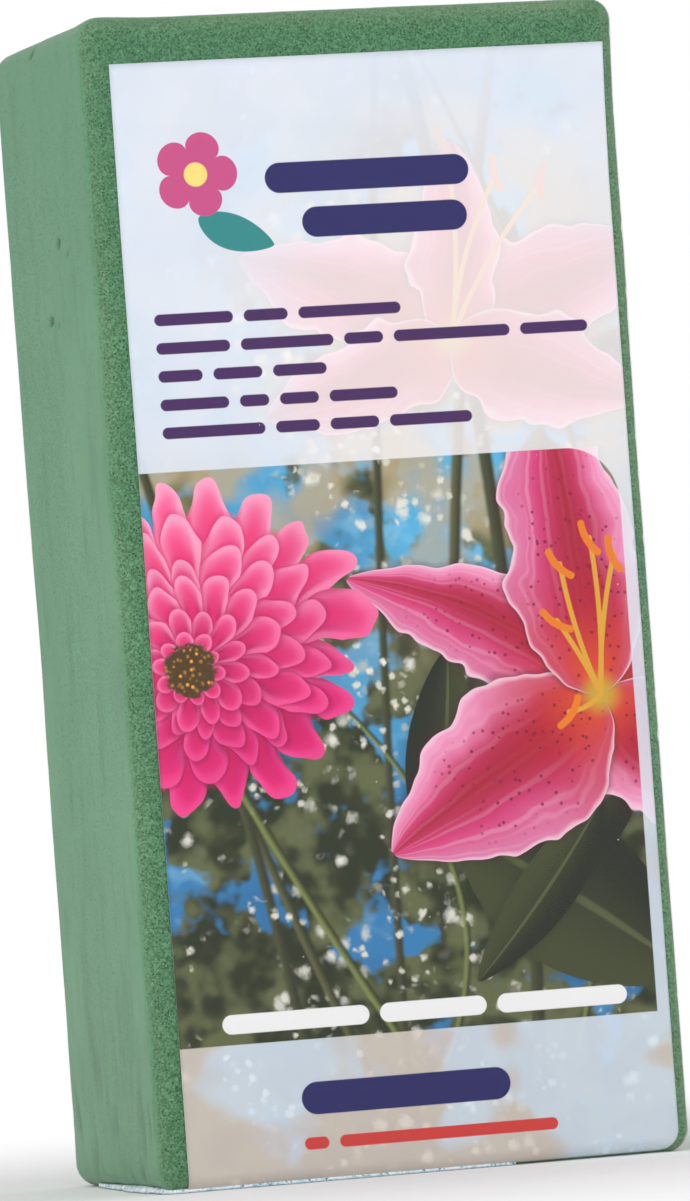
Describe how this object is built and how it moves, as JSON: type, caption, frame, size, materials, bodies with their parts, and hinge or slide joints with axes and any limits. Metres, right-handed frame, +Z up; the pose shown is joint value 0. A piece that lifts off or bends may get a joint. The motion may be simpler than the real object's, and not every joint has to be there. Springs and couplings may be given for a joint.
{
  "type": "floral foam brick",
  "caption": "Rectangular brick of green floral foam with a printed paper insert on its front, wrapped in clear shrink film.",
  "frame": {"origin": "middle of the wrapped brick's underside, on the plane it stands on", "axes": "+Z up along the brick's length, -Y out of the front with the printed insert, +X to the right as the front is seen"},
  "size_m": [0.1102, 0.0702, 0.2301],
  "materials": {
    "foam": "matte",
    "printed_paper": "satin",
    "clear_film": "gloss"
  },
  "bodies": {
    "root": {"foam_block": "foam", "paper_insert": "printed_paper", "shrink_film": "clear_film"}
  },
  "joints": []
}
